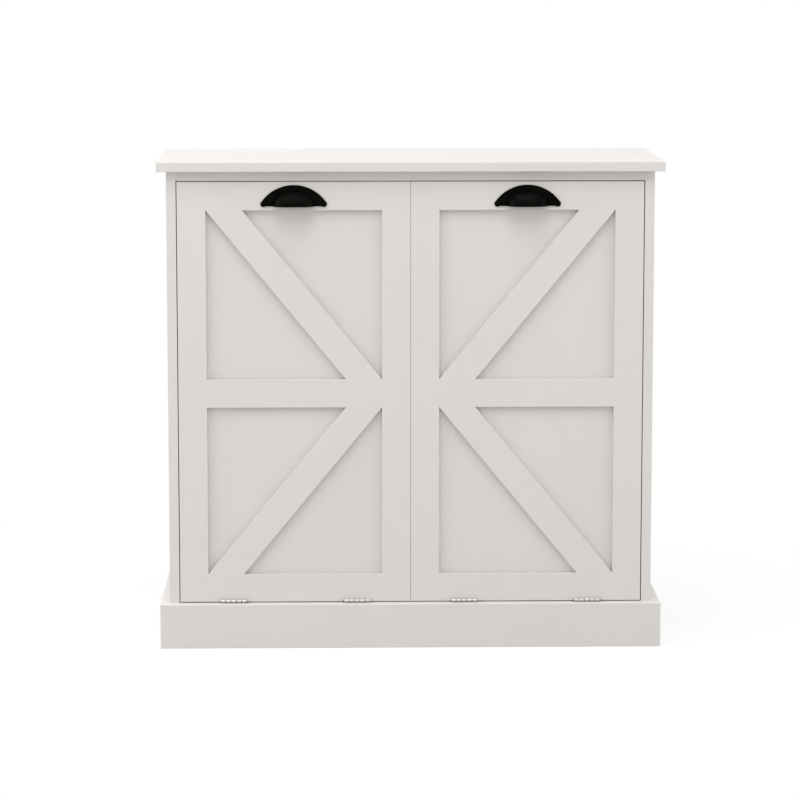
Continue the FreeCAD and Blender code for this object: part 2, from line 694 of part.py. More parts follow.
def carrier_cheek(s, which):
    """Side of the carrier, high at the door and sloping to a rounded rear corner."""
    out, inside = cheek_limits(s)[which]
    corners = [
        V(out, DOOR_BACK, CARRIER_Z0),
        V(out, CARRIER_Y1, CARRIER_Z0),
        V(out, CARRIER_Y1, RAIL_Z - REAR_DROP),
        V(out, DOOR_BACK, RAIL_Z - FRONT_DROP),
    ]
    cheek = sweep(corners, V(inside - out, 0, 0))
    corner = [edge for edge in cheek.Edges if straight_at(edge, "z", RAIL_Z - REAR_DROP)]
    cheek = cheek.makeFillet(CHEEK_ROUND, corner)
    tools = carrier_screws(s)
    if which == "outer":
        tools.append(stay_stud(s))
    return cheek.cut(tools)


def carrier_span(s):
    """Inside width of a carrier along X."""
    limits = cheek_limits(s)
    return limits["outer"][1], limits["inner"][1]


def carrier_tray(s):
    """Bottom board of the carrier."""
    tray = box(carrier_span(s), (DOOR_BACK, CARRIER_Y1), (CARRIER_Z0, CARRIER_Z0 + TRAY_T))
    return tray.cut(carrier_screws(s))


def carrier_rear(s):
    """Rear board of the carrier, standing on the tray."""
    top = RAIL_Z - REAR_DROP - CHEEK_ROUND - REAR_BOARD_DROP
    board = box(carrier_span(s), (CARRIER_Y1 - REAR_T, CARRIER_Y1), (CARRIER_Z0 + TRAY_T, top))
    return board.cut(carrier_screws(s))


def door_parts(name, s):
    """Everything that tilts with one door."""
    leaf_screws = door_leaf_screws(s)
    wanted = range(1, KNUCKLES, 2)
    leaves = [hinge_leaf(x, LEAF_Z, wanted, PIN_R + PIN_PLAY).cut(leaf_screws) for x in hinge_places(s)]
    pieces = {
        "door_panel": door_panel(s),
        "door_overlay": door_overlay(s),
        "cup_pull": cup_pull(s),
        "pull_screws": Part.makeCompound(pull_screws(s)),
        "hinge_door_leaves": Part.makeCompound(leaves),
        "hinge_door_screws": Part.makeCompound(leaf_screws),
        "strike_plate": strike_plate(s),
        "strike_screws": Part.makeCompound(strike_screws(s)),
        "carrier_cheek_outer": carrier_cheek(s, "outer"),
        "carrier_cheek_inner": carrier_cheek(s, "inner"),
        "carrier_tray": carrier_tray(s),
        "carrier_rear": carrier_rear(s),
        "carrier_screws": Part.makeCompound(carrier_screws(s)),
        "stay_stud": stay_stud(s),
    }
    return {piece + "_" + name: shape for piece, shape in pieces.items()}


def carcass_parts():
    """Drilled carcass boards with the fittings that hold them, hinges, catches and stay pivots."""
    boards = carcass_boards()
    cams = cam_joints()
    dowels = dowel_joints()
    screws = plinth_screws()
    tools = {node: [] for node in boards}
    for point, into_edge, into_face, face, edge in cams:
        tools[face].append(rod(point - into_edge * BOLT_THREAD, into_edge, BOLT_THREAD_R, BOLT_THREAD))
        tools[edge].append(bolt_bore(point, into_edge))
        tools[edge].append(cam_pocket(point, into_edge, into_face))
    for point, into_edge, face, edge in dowels:
        hole = dowel(point, into_edge, DOWEL_END)
        tools[face].append(hole)
        tools[edge].append(hole)
    parts = {}
    leaf_screws = []
    pins = []
    for name, s in SIDES.items():
        seated = base_leaf_screws(s)
        wanted = range(0, KNUCKLES, 2)
        leaves = [hinge_leaf(x, PLINTH_H, wanted, PIN_R).cut(seated) for x in hinge_places(s)]
        parts["hinge_base_leaves_" + name] = Part.makeCompound(leaves)
        parts["catch_housing_" + name] = catch_housing(s)
        pins += [hinge_pin(x) for x in hinge_places(s)]
        leaf_screws += seated
        tools["bottom_panel"] += seated
        tools["front_rail"] += catch_screws(s)
        tools["side_panel_" + name] += screws[name] + [stay_pivot(s)]
        tools["plinth_" + name] += screws[name]
    for node, board in boards.items():
        parts[node] = board.cut(tools[node]) if tools[node] else board
    sides = SIDES.values()
    groups = {
        "cam_bolts": [cam_bolt(*joint[:2]) for joint in cams],
        "cam_locks": [cam_lock(*joint[:3]) for joint in cams],
        "wood_dowels": [dowel(*joint[:2]) for joint in dowels],
        "plinth_screws": screws["left"] + screws["right"],
        "hinge_pins": pins,
        "hinge_base_screws": leaf_screws,
        "catch_magnets": [catch_magnet(s) for s in sides],
        "catch_pole_plates": [plate for s in sides for plate in catch_poles(s)],
        "catch_screws": [one for s in sides for one in catch_screws(s)],
        "stay_pivots": [stay_pivot(s) for s in sides],
    }
    for node, solids in groups.items():
        parts[node] = Part.makeCompound(solids)
    return parts


def main():
    """Build every piece and write one file for each node."""
    parts = carcass_parts()
    for name, s in SIDES.items():
        parts.update(door_parts(name, s))
        parts["stay_arm_" + name] = stay_arm(s)
    os.makedirs("parts", exist_ok=True)
    for node, shape in parts.items():
        shape.exportStep("parts/%s.step" % node)
        print(node, len(shape.Solids), round(shape.Volume), shape.isValid())


main()
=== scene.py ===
"""Looks of a painted two-door tilt-out cabinet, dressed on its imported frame.

Every size is in metres, in the frame's own axes: X to the right, Y to the back, Z up.
"""

import json
import logging
import math
from abc import ABC, abstractmethod
from dataclasses import dataclass, field
from enum import Enum
from functools import cache

import bmesh
import bpy
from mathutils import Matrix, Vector


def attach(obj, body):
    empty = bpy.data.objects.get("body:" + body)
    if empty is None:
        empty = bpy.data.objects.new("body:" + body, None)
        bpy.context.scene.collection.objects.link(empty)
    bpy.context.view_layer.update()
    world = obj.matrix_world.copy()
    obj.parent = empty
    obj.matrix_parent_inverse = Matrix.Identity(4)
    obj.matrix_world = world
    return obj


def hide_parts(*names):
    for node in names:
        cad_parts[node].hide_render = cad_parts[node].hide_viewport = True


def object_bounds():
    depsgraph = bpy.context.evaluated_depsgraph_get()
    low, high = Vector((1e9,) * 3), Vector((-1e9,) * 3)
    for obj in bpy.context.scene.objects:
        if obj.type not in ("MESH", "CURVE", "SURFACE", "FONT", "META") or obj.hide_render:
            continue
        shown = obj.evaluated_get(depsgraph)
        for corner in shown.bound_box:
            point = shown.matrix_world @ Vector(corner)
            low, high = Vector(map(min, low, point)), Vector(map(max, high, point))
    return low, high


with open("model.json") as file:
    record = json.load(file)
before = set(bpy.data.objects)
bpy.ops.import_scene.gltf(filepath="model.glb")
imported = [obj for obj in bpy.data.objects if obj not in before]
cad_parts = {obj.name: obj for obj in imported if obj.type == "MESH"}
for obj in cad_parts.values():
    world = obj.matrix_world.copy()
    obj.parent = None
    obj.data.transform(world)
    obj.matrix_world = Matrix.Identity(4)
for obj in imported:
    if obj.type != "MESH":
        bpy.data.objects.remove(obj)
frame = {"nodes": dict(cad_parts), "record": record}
CAD_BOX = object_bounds()
LOG = logging.getLogger("cabinet")
Colour = tuple[float, float, float]
Place = tuple[float, float, float]
Pair = tuple[float, float]
BLACK: Colour = (0.0, 0.0, 0.0)
WHITE: Colour = (1.0, 1.0, 1.0)
DRAWN_OUT = 0.05


@dataclass(frozen=True)
class Socket:
    """Output of a shader node that takes part in Python expressions."""

    graph: "Graph"
    output: bpy.types.NodeSocket | None

    def _math(self, operation: str, first: "Term", second: "Term") -> "Socket":
        """Adds a Math node.

        Args:
            operation: name of the operation.
            first: left side of the expression.
            second: right side of the expression.

        Returns:
            The value of the expression.
        """
        return self.graph.node("ShaderNodeMath", {"operation": operation}, {0: first, 1: second})

    def __add__(self, other: "Term") -> "Socket":
        """Sum with another value."""
        return self._math("ADD", self, other)

    def __radd__(self, other: "Term") -> "Socket":
        """Sum with a number on the left."""
        return self._math("ADD", other, self)

    def __sub__(self, other: "Term") -> "Socket":
        """Difference from another value."""
        return self._math("SUBTRACT", self, other)

    def __rsub__(self, other: "Term") -> "Socket":
        """Difference of a number on the left."""
        return self._math("SUBTRACT", other, self)

    def __mul__(self, other: "Term") -> "Socket":
        """Product with another value."""
        return self._math("MULTIPLY", self, other)

    def __rmul__(self, other: "Term") -> "Socket":
        """Product with a number on the left."""
        return self._math("MULTIPLY", other, self)


Term = Socket | float


class Axis(Enum):
    """Axes of the frame, as the names of a vector's parts."""

    ACROSS = "X"
    DEPTH = "Y"
    HEIGHT = "Z"


class Run(Enum):
    """Way that the roller marks, pores or brush lines of a surface run, as factors on the axes."""

    ALONG_X = (DRAWN_OUT, 1.0, 1.0)
    ALONG_Y = (1.0, DRAWN_OUT, 1.0)
    ALONG_Z = (1.0, 1.0, DRAWN_OUT)


@dataclass(frozen=True)
class Pattern:
    """Cloudy pattern: the length of a cloud, octaves of finer clouds, and the values drawn out to 0 and 1."""

    size: float
    detail: float = 2.0
    limits: Pair | None = None


class Graph:
    """Node tree of a material or of the world."""

    # Numbers of the Mix node's sockets for colours, because their names repeat those for other kinds.
    MIX_FACTOR, MIX_FIRST, MIX_SECOND, MIX_RESULT = 0, 6, 7, 2

    def __init__(self, tree: bpy.types.NodeTree) -> None:
        """Takes over an emptied tree.

        Args:
            tree: node tree to fill.
        """
        tree.nodes.clear()
        self.tree = tree

    def node(self, kind: str, settings: dict[str, object], inputs: dict[str | int, object],
             output: str | int = 0) -> Socket:
        """Adds one node.

        Args:
            kind: type of the node.
            settings: properties of the node, set before its sockets.
            inputs: values or links of its sockets.
            output: name or number of the output to go on with.

        Returns:
            That output, or an empty socket on a node that ends the tree.
        """
        made = self.tree.nodes.new(kind)
        for name, value in settings.items():
            setattr(made, name, value)
        for name, value in inputs.items():
            if isinstance(value, Socket):
                self.tree.links.new(value.output, made.inputs[name])
            else:
                made.inputs[name].default_value = value
        return Socket(self, made.outputs[output] if made.outputs else None)

    def place(self) -> Socket:
        """Point of the surface in the frame's axes."""
        return self.node("ShaderNodeTexCoord", {}, {}, "Object")

    def along(self, run: Run) -> Socket:
        """Point of the surface with the axes drawn out along a run."""
        return self.node("ShaderNodeVectorMath", {"operation": "MULTIPLY"}, {0: self.place(), 1: run.value})

    def span(self, value: Socket, limits: Pair) -> Socket:
        """Value drawn out so that the limits become 0 and 1, with nothing past them."""
        ends = {"Value": value, "From Min": limits[0], "From Max": limits[1]}
        return self.node("ShaderNodeMapRange", {"clamp": True}, ends)

    def noise(self, vector: Socket, pattern: Pattern) -> Socket:
        """Adds a cloudy pattern between 0 and 1.

        Args:
            vector: point that the pattern is read at.
            pattern: size, detail and limits of the pattern.

        Returns:
            The value of the pattern.
        """
        clouds = {"Vector": vector, "Scale": 1 / pattern.size, "Detail": pattern.detail}
        value = self.node("ShaderNodeTexNoise", {}, clouds)
        return self.span(value, pattern.limits) if pattern.limits else value

    def blend(self, factor: Term, first: Colour | Socket, second: Colour | Socket) -> Socket:
        """Mixes two colours.

        Args:
            factor: 0 for the first colour, 1 for the second.
            first: colour or link.
            second: colour or link.

        Returns:
            The colour between them.
        """
        ends = [end if isinstance(end, Socket) else (*end, 1.0) for end in (first, second)]
        inputs = {self.MIX_FACTOR: factor, self.MIX_FIRST: ends[0], self.MIX_SECOND: ends[1]}
        return self.node("ShaderNodeMix", {"data_type": "RGBA"}, inputs, self.MIX_RESULT)

    def facing(self, axis: Axis) -> Socket:
        """Tells how far a piece's surface looks along one of its axes, to either side.

        Args:
            axis: axis to compare with.

        Returns:
            1 on a surface that looks along the axis, 0 on one that looks square to it.
        """
        normal = self.node("ShaderNodeTexCoord", {}, {}, "Normal")
        part = self.node("ShaderNodeSeparateXYZ", {}, {"Vector": normal}, axis.value)
        return self.node("ShaderNodeMath", {"operation": "ABSOLUTE"}, {0: part})

    def bump(self, height: Socket, depth: float) -> Socket:
        """Normal of a surface that rises by a depth where the height is 1."""
        return self.node("ShaderNodeBump", {}, {"Height": height, "Distance": depth})

    def seen(self) -> Socket:
        """Tells which rays show the background to the camera, in a mirror or through glass.

        Returns:
            1 for those rays, 0 for the rays that carry light.
        """
        names = ("Is Camera Ray", "Is Glossy Ray", "Is Transmission Ray")
        camera, glossy, through = (self.node("ShaderNodeLightPath", {}, {}, name) for name in names)
        return camera + glossy + through


class Finish(ABC):
    """Surface of one kind of piece."""

    name: str

    @abstractmethod
    def sockets(self, graph: Graph) -> dict[str, object]:
        """Works out the values and links of the surface shader.

        Args:
            graph: node tree of the material.

        Returns:
            Inputs of a Principled shader by name.
        """

    @cache
    def material(self) -> bpy.types.Material:
        """Makes the material of the finish, once.

        Returns:
            The material.
        """
        made = bpy.data.materials.new(self.name)
        made.use_nodes = True
        graph = Graph(made.node_tree)
        shader = graph.node("ShaderNodeBsdfPrincipled", {}, self.sockets(graph))
        graph.node("ShaderNodeOutputMaterial", {}, {"Surface": shader})
        return made


@dataclass(frozen=True)
class RolledPaint(Finish):
    """Satin paint put on with a roller: soft clouds of tone, faint roller lanes and a pebbled skin.

    The edges of a board can be drawn darker than its faces by a share: painted shade that deepens the shadow
    lines along recess walls and gaps.
    """

    name: str
    run: Run
    colour: Colour = (0.702, 0.676, 0.648)
    shade: float = 0.030
    cloud_share: float = 0.6
    lane_share: float = 0.4
    edge_painted_shade: float = 0.0
    edge_limits: Pair = (0.3, 0.8)
    face: Axis = Axis.DEPTH
    roughness: float = 0.40
    lane_roughness: float = 0.10
    clouds: Pattern = Pattern(0.17, 3.0, (0.3, 0.7))
    lanes: Pattern = Pattern(0.045, 3.0)
    pebbles: Pattern = Pattern(0.0013)
    lane_height: float = 0.5
    depth: float = 0.00002
    specular: float = 0.35

    def sockets(self, graph: Graph) -> dict[str, object]:
        """Works out clouds, lanes and pebbles, and the painted shade on the edges where the paint has it.

        Args:
            graph: node tree of the material.

        Returns:
            Inputs of a Principled shader by name.
        """
        place = graph.place()
        clouds = graph.noise(place, self.clouds)
        lanes = graph.noise(graph.along(self.run), self.lanes)
        pebbles = graph.noise(place, self.pebbles)
        darker = self.shade * (self.cloud_share * clouds + self.lane_share * lanes)
        if self.edge_painted_shade:
            # Painted shade: surfaces that look away from the face axis, such as recess walls and door sides,
            # are darkened.
            face = graph.span(graph.facing(self.face), self.edge_limits)
            darker = darker + self.edge_painted_shade * (1 - face)
        return {
            "Base Color": graph.blend(darker, self.colour, BLACK),
            "Roughness": self.roughness + self.lane_roughness * lanes,
            "Normal": graph.bump(pebbles + self.lane_height * lanes, self.depth),
            "Specular IOR Level": self.specular,
        }


@dataclass(frozen=True)
class PressedFoil(Finish):
    """Matt white foil on board, with shallow pores pressed along its length."""

    name: str
    run: Run
    colour: Colour = (0.745, 0.728, 0.703)
    pore_colour: Colour = (0.675, 0.655, 0.628)
    pores: Pattern = Pattern(0.0022, 3.0, (0.52, 0.72))
    figure: Pattern = Pattern(0.0264, 4.0, (0.35, 0.70))
    pore_share: float = 0.45
    figure_share: float = 0.35
    roughness: float = 0.52
    pore_roughness: float = 0.12
    depth: float = 0.00005
    specular: float = 0.35

    def sockets(self, graph: Graph) -> dict[str, object]:
        """Works out the pores and the broad figure printed under them.

        Args:
            graph: node tree of the material.

        Returns:
            Inputs of a Principled shader by name.
        """
        along = graph.along(self.run)
        pores = graph.noise(along, self.pores)
        tone = self.figure_share * graph.noise(along, self.figure) + self.pore_share * pores
        return {
            "Base Color": graph.blend(tone, self.colour, self.pore_colour),
            "Roughness": self.roughness + self.pore_roughness * pores,
            "Normal": graph.bump(1 - pores, self.depth),
            "Specular IOR Level": self.specular,
        }


@dataclass(frozen=True)
class FacedHardboard(Finish):
    """Thin hardboard with a white face, whose pressed fibres show through a little."""

    name: str = "faced_hardboard"
    colour: Colour = (0.735, 0.718, 0.692)
    fibre_colour: Colour = (0.645, 0.622, 0.588)
    fibres: Pattern = Pattern(0.0035, 5.0, (0.40, 0.70))
    clouds: Pattern = Pattern(0.21, 2.0, (0.3, 0.7))
    fibre_share: float = 0.3
    cloud_share: float = 0.25
    roughness: float = 0.55
    fibre_roughness: float = 0.12
    depth: float = 0.00006
    specular: float = 0.30

    def sockets(self, graph: Graph) -> dict[str, object]:
        """Works out the fibres and the clouds of tone.

        Args:
            graph: node tree of the material.

        Returns:
            Inputs of a Principled shader by name.
        """
        place = graph.place()
        fibres = graph.noise(place, self.fibres)
        tone = self.fibre_share * fibres + self.cloud_share * graph.noise(place, self.clouds)
        return {
            "Base Color": graph.blend(tone, self.colour, self.fibre_colour),
            "Roughness": self.roughness + self.fibre_roughness * fibres,
            "Normal": graph.bump(fibres, self.depth),
            "Specular IOR Level": self.specular,
        }


@dataclass(frozen=True)
class PowderCoat(Finish):
    """Satin black powder coat with a finely pebbled skin and a trace of rubbed gloss."""

    name: str = "black_powder_coat"
    colour: Colour = (0.0016, 0.0016, 0.0010)
    rubbed: Colour = (0.0036, 0.0036, 0.0024)
    pebbles: Pattern = Pattern(0.0007)
    rubs: Pattern = Pattern(0.0154, 3.0, (0.45, 0.75))
    roughness: float = 0.42
    rub_gloss: float = 0.10
    depth: float = 0.000012
    specular: float = 0.03

    def sockets(self, graph: Graph) -> dict[str, object]:
        """Works out the pebbles and the rubbed places.

        Args:
            graph: node tree of the material.

        Returns:
            Inputs of a Principled shader by name.
        """
        place = graph.place()
        rubs = graph.noise(place, self.rubs)
        return {
            "Base Color": graph.blend(rubs, self.colour, self.rubbed),
            "Roughness": self.roughness - self.rub_gloss * rubs,
            "Normal": graph.bump(graph.noise(place, self.pebbles), self.depth),
            "Specular IOR Level": self.specular,
        }


@dataclass(frozen=True)
class PlatedMetal(Finish):
    """Plated metal with fine brush lines and cloudy, slightly dulled patches.

    Ends that look along one axis can be drawn darker by a share: painted shade that makes the gaps between
    hinge knuckles read dark.
    """

    name: str
    run: Run
    colour: Colour
    dulled: Colour
    end_painted_shade: float = 0.0
    end_limits: Pair = (0.2, 0.6)
    end: Axis = Axis.ACROSS
    lines: Pattern = Pattern(0.0005)
    patches: Pattern = Pattern(0.006, 3.0, (0.35, 0.75))
    roughness: float = 0.24
    line_roughness: float = 0.06
    patch_roughness: float = 0.14
    depth: float = 0.000004

    def sockets(self, graph: Graph) -> dict[str, object]:
        """Works out the brush lines and patches, and the painted shade on the ends where the metal has it.

        Args:
            graph: node tree of the material.

        Returns:
            Inputs of a Principled shader by name.
        """
        lines = graph.noise(graph.along(self.run), self.lines)
        patches = graph.noise(graph.place(), self.patches)
        plate = graph.blend(patches, self.colour, self.dulled)
        if self.end_painted_shade:
            # Painted shade: surfaces that look along the end axis, such as the knuckle ends, are darkened.
            ends = graph.span(graph.facing(self.end), self.end_limits)
            plate = graph.blend(self.end_painted_shade * ends, plate, BLACK)
        return {
            "Base Color": plate,
            "Metallic": 1.0,
            "Roughness": self.roughness + self.patch_roughness * patches + self.line_roughness * lines,
            "Normal": graph.bump(lines, self.depth),
        }


@dataclass(frozen=True)
class RawBeech(Finish):
    """Raw beech with growth lines and short dark flecks along the grain."""

    name: str = "raw_beech"
    run: Run = Run.ALONG_X
    colour: Colour = (0.560, 0.360, 0.190)
    dark: Colour = (0.400, 0.230, 0.110)
    growth: Pattern = Pattern(0.0020, 3.0)
    flecks: Pattern = Pattern(0.0008, 1.0, (0.62, 0.72))
    growth_share: float = 0.7
    fleck_share: float = 0.3
    roughness: float = 0.62
    fleck_roughness: float = 0.10
    depth: float = 0.00003

    def sockets(self, graph: Graph) -> dict[str, object]:
        """Works out the growth lines and the flecks.

        Args:
            graph: node tree of the material.

        Returns:
            Inputs of a Principled shader by name.
        """
        along = graph.along(self.run)
        growth = graph.noise(along, self.growth)
        flecks = graph.noise(along, self.flecks)
        tone = self.growth_share * growth + self.fleck_share * flecks
        return {
            "Base Color": graph.blend(tone, self.colour, self.dark),
            "Roughness": self.roughness + self.fleck_roughness * flecks,
            "Normal": graph.bump(growth, self.depth),
        }


@dataclass(frozen=True)
class MouldedPlastic(Finish):
    """Moulded plastic or pressed ferrite with a fine even texture."""

    name: str
    colour: Colour
    speck: Colour
    grain: Pattern = Pattern(0.0006)
    flow: Pattern = Pattern(0.018, 2.0, (0.3, 0.7))
    grain_share: float = 0.5
    flow_share: float = 0.4
    roughness: float = 0.45
    grain_roughness: float = 0.10
    depth: float = 0.000015

    def sockets(self, graph: Graph) -> dict[str, object]:
        """Works out the grain and the clouds that the flow in the mould leaves.

        Args:
            graph: node tree of the material.

        Returns:
            Inputs of a Principled shader by name.
        """
        place = graph.place()
        grain = graph.noise(place, self.grain)
        tone = self.grain_share * grain + self.flow_share * graph.noise(place, self.flow)
        return {
            "Base Color": graph.blend(tone, self.colour, self.speck),
            "Roughness": self.roughness + self.grain_roughness * grain,
            "Normal": graph.bump(grain, self.depth),
        }


# Nickel hinge leaves get painted shade on their knuckle ends, so the gaps between knuckles read dark.
NICKEL = PlatedMetal("bright_nickel", Run.ALONG_X, (0.57, 0.55, 0.53), (0.49, 0.47, 0.45), end_painted_shade=0.85,
                     roughness=0.34)
# Pins are drawn darker than steel is: partly a dull bare-steel tone, partly painted shade so the pins in the
# knuckle gaps read dark.
PIN_STEEL = PlatedMetal("bare_pin_steel", Run.ALONG_X, (0.24, 0.23, 0.22), (0.17, 0.16, 0.15), roughness=0.38)
STEEL = PlatedMetal("bright_zinc_plate", Run.ALONG_Z, (0.62, 0.63, 0.65), (0.52, 0.53, 0.56))
CAST_ZINC = PlatedMetal("dull_cast_zinc", Run.ALONG_Z, (0.48, 0.49, 0.50), (0.38, 0.39, 0.40), roughness=0.40)
WHITE_PLASTIC = MouldedPlastic("white_moulding", (0.78, 0.77, 0.74), (0.72, 0.71, 0.68))
FERRITE = MouldedPlastic("ferrite", (0.055, 0.054, 0.052), (0.095, 0.093, 0.090), roughness=0.60)
PAINT = {run: RolledPaint(f"rolled_paint_{run.name.lower()}", run) for run in Run}
# Door boards get painted shade on their edges, which darkens the recess walls and the sides of the doors.
DOOR_PAINT = RolledPaint("door_paint", Run.ALONG_Z, edge_painted_shade=0.24)
# The front rail gets painted shade on its front edge, standing in for the shadow under the overhang of the
# top.
RAIL_PAINT = RolledPaint("rail_paint", Run.ALONG_X, edge_painted_shade=0.04, face=Axis.HEIGHT)
FOIL = {run: PressedFoil(f"pressed_foil_{run.name.lower()}", run) for run in Run}


def body_of(node: str) -> str:
    """Name of the body that carries a node."""
    bodies = frame["record"]["behaviour"]["bodies"]
    return next(body for body, nodes in bodies.items() if node in nodes)


def dress(node: str, finish: Finish) -> None:
    """Gives a node of the frame its finish.

    Args:
        node: name of the node.
        finish: surface that it gets.
    """
    mesh = frame["nodes"][node].data
    mesh.materials.clear()
    mesh.materials.append(finish.material())
    LOG.info("%s on %s: %s", node, body_of(node), finish.name)


def added(name: str, data: bpy.types.ID) -> bpy.types.Object:
    """Adds an object to the scene.

    Args:
        name: name of the object.
        data: its mesh, lamp or camera.

    Returns:
        The object.
    """
    made = bpy.data.objects.new(name, data)
    bpy.context.scene.collection.objects.link(made)
    return made


@dataclass(frozen=True)
class Blank:
    """Plain screw of the frame: where its head lies, which way it points, and its sizes."""

    seat: Vector
    axis: Vector
    head_r: float
    head_h: float
    shank_r: float
    length: float
    raised: bool

    def point(self, along: float, radius: float, angle: float) -> Vector:
        """Works out a point round the screw.

        Args:
            along: distance from the flat of the head into the board.
            radius: distance from the screw's middle line.
            angle: turn round that line.

        Returns:
            The point in the frame's axes.
        """
        across = self.axis.orthogonal().normalized()
        up = self.axis.cross(across)
        return self.seat + self.axis * along + radius * (across * math.cos(angle) + up * math.sin(angle))


class Tip(Enum):
    """Ends of a screw: length and end radius, as shares of the shank's radius."""

    POINTED = (2.5, 0.12)
    BLUNT = (0.5, 0.518)


@dataclass
class CrossScrews:
    """Screws with a cross recess, a cut thread and a tip, one for each plain screw of a node.

    Rims are depths and radii as shares of the head. The recess and the thread are shares of the head, the
    shank and the pitch, so that they fit every size.
    """

    node: str
    pitch: float
    tip: Tip = Tip.POINTED
    finish: Finish = STEEL
    slot: str = "bright_steel"
    sides: int = 20
    sharp_deg: float = 35.0
    weld: float = 1e-7
    close: float = 1e-5
    raised_neck: float = 0.9
    flat_rim: tuple[Pair, ...] = ((0.0, 0.96), (0.06, 1.0))
    raised_rim: tuple[Pair, ...] = ((0.0, 0.72), (0.22, 0.93), (0.55, 1.0), (1.0, 1.0))
    recess_reach: float = 0.60
    recess_half: float = 0.13
    recess_depth: float = 0.60
    recess_taper: float = 0.55
    thread_share: float = 0.65
    thread_root: float = 0.74
    thread_sink: float = 0.98
    thread_half: float = 0.35
    thread_steps: int = 10
    run_out_steps: int = 5

    def blanks(self) -> list[Blank]:
        """Reads the plain screws from the node's separate solids.

        Returns:
            The screws, in the order of the node's points.
        """
        shape = bmesh.new()
        shape.from_mesh(frame["nodes"][self.node].data)
        bmesh.ops.remove_doubles(shape, verts=shape.verts, dist=self.weld)
        found = []
        left = dict.fromkeys(shape.verts)
        while left:
            border = {next(iter(left))}
            solid = set(border)
            while border:
                border = {edge.other_vert(vert) for vert in border for edge in vert.link_edges} - solid
                solid |= border
            found.append(self.measured([vert.co.copy() for vert in solid]))
            left = {vert: None for vert in left if vert not in solid}
        shape.free()
        return found

    def measured(self, points: list[Vector]) -> Blank:
        """Works out a plain screw from the points of its solid.

        Args:
            points: corners of one solid.

        Returns:
            The screw, with its axis from the wide end to the narrow end.
        """
        low = Vector(min(p[i] for p in points) for i in range(3))
        high = Vector(max(p[i] for p in points) for i in range(3))
        middle = (low + high) / 2
        size = high - low
        way = max(range(3), key=lambda i: size[i])
        across = [i for i in range(3) if i != way]
        radius = {p.freeze(): math.hypot(*(p[i] - middle[i] for i in across)) for p in points}
        at_low = max(r for p, r in radius.items() if p[way] - low[way] < self.close)
        at_high = max(r for p, r in radius.items() if high[way] - p[way] < self.close)
        sign = 1 if at_low > at_high else -1
        seat = middle.copy()
        seat[way] = low[way] if sign > 0 else high[way]
        axis = Vector(sign if i == way else 0 for i in range(3))
        depths = {p: (p - seat).dot(axis) for p in radius}
        head_h = min(d for d in depths.values() if d > self.close)
        neck = max(r for p, r in radius.items() if abs(depths[p] - head_h) < self.close)
        head_r, shank_r = max(at_low, at_high), min(at_low, at_high)
        return Blank(seat, axis, head_r, head_h, shank_r, size[way], neck > self.raised_neck * head_r)

    def threaded(self, blank: Blank) -> Pair:
        """Depths at which the thread of a screw starts and ends."""
        start = blank.length - self.thread_share * (blank.length - blank.head_h)
        return start, blank.length - self.tip.value[0] * blank.shank_r

    def outline(self, blank: Blank) -> list[Pair]:
        """Works out the profile of a screw below the rim of its flat.

        Args:
            blank: screw to follow.

        Returns:
            Depths and radii, from the rim to the tip.
        """
        start, end = self.threaded(blank)
        root = self.thread_root * blank.shank_r
        rim = self.raised_rim if blank.raised else self.flat_rim
        head = [(depth * blank.head_h, radius * blank.head_r) for depth, radius in rim]
        shank = [(blank.head_h, blank.shank_r), (start, blank.shank_r), (start, root), (end, root)]
        return head + shank + [(blank.length, self.tip.value[1] * blank.shank_r)]

    def turn(self, shape: bmesh.types.BMesh, blank: Blank) -> list[bmesh.types.BMVert]:
        """Turns the profile round the screw's axis.

        Args:
            shape: mesh to add to.
            blank: screw to follow.

        Returns:
            The rim of the flat of the head, which is left open.
        """
        angles = [2 * math.pi * i / self.sides for i in range(self.sides)]
        rings = [[shape.verts.new(blank.point(t, r, a)) for a in angles] for t, r in self.outline(blank)]
        for upper, lower in zip(rings, rings[1:]):
            for i in range(self.sides):
                j = (i + 1) % self.sides
                shape.faces.new((upper[i], upper[j], lower[j], lower[i]))
        shape.faces.new(rings[-1])
        return rings[0]

    def recess(self, shape: bmesh.types.BMesh, blank: Blank, rim: list[bmesh.types.BMVert]) -> None:
        """Closes the flat of the head round a tapered cross recess.

        Args:
            shape: mesh to add to.
            blank: screw to follow.
            rim: rim of the flat.
        """
        reach, half = self.recess_reach, self.recess_half
        arm = ((reach, -half), (reach, half), (half, half))
        corners = [(math.hypot(x, y), math.atan2(y, x) + quarter * math.pi / 2)
                   for quarter in range(4) for x, y in arm]
        levels = ((0.0, blank.head_r), (self.recess_depth * blank.head_h, self.recess_taper * blank.head_r))
        top, floor = ([shape.verts.new(blank.point(depth, scale * r, a)) for r, a in corners]
                      for depth, scale in levels)
        for i in range(len(top)):
            j = (i + 1) % len(top)
            shape.faces.new((top[i], top[j], floor[j], floor[i]))
        shape.faces.new(floor)
        edges = [shape.edges.get((loop[i - 1], loop[i])) for loop in (rim, top) for i in range(len(loop))]
        bmesh.ops.triangle_fill(shape, use_beauty=True, edges=edges)

    def thread(self, shape: bmesh.types.BMesh, blank: Blank) -> None:
        """Winds the thread round the lower part of the shank, run out at both ends.

        Args:
            shape: mesh to add to.
            blank: screw to follow.
        """
        start, end = self.threaded(blank)
        start += self.pitch / 2
        count = int((end - self.pitch / 2 - start) / self.pitch * self.thread_steps)
        root = self.thread_root * blank.shank_r
        foot = self.thread_sink * root
        half = self.thread_half * self.pitch
        before = None
        for i in range(count + 1):
            fade = min(1.0, i / self.run_out_steps, (count - i) / self.run_out_steps)
            crest = root + fade * (blank.shank_r - root)
            along = start + self.pitch * i / self.thread_steps
            angle = 2 * math.pi * i / self.thread_steps
            ridge = ((along - half, foot), (along, crest), (along + half, foot))
            now = [shape.verts.new(blank.point(depth, radius, angle)) for depth, radius in ridge]
            if before:
                for k in (0, 1):
                    shape.faces.new((before[k], now[k], now[k + 1], before[k + 1]))
            before = now

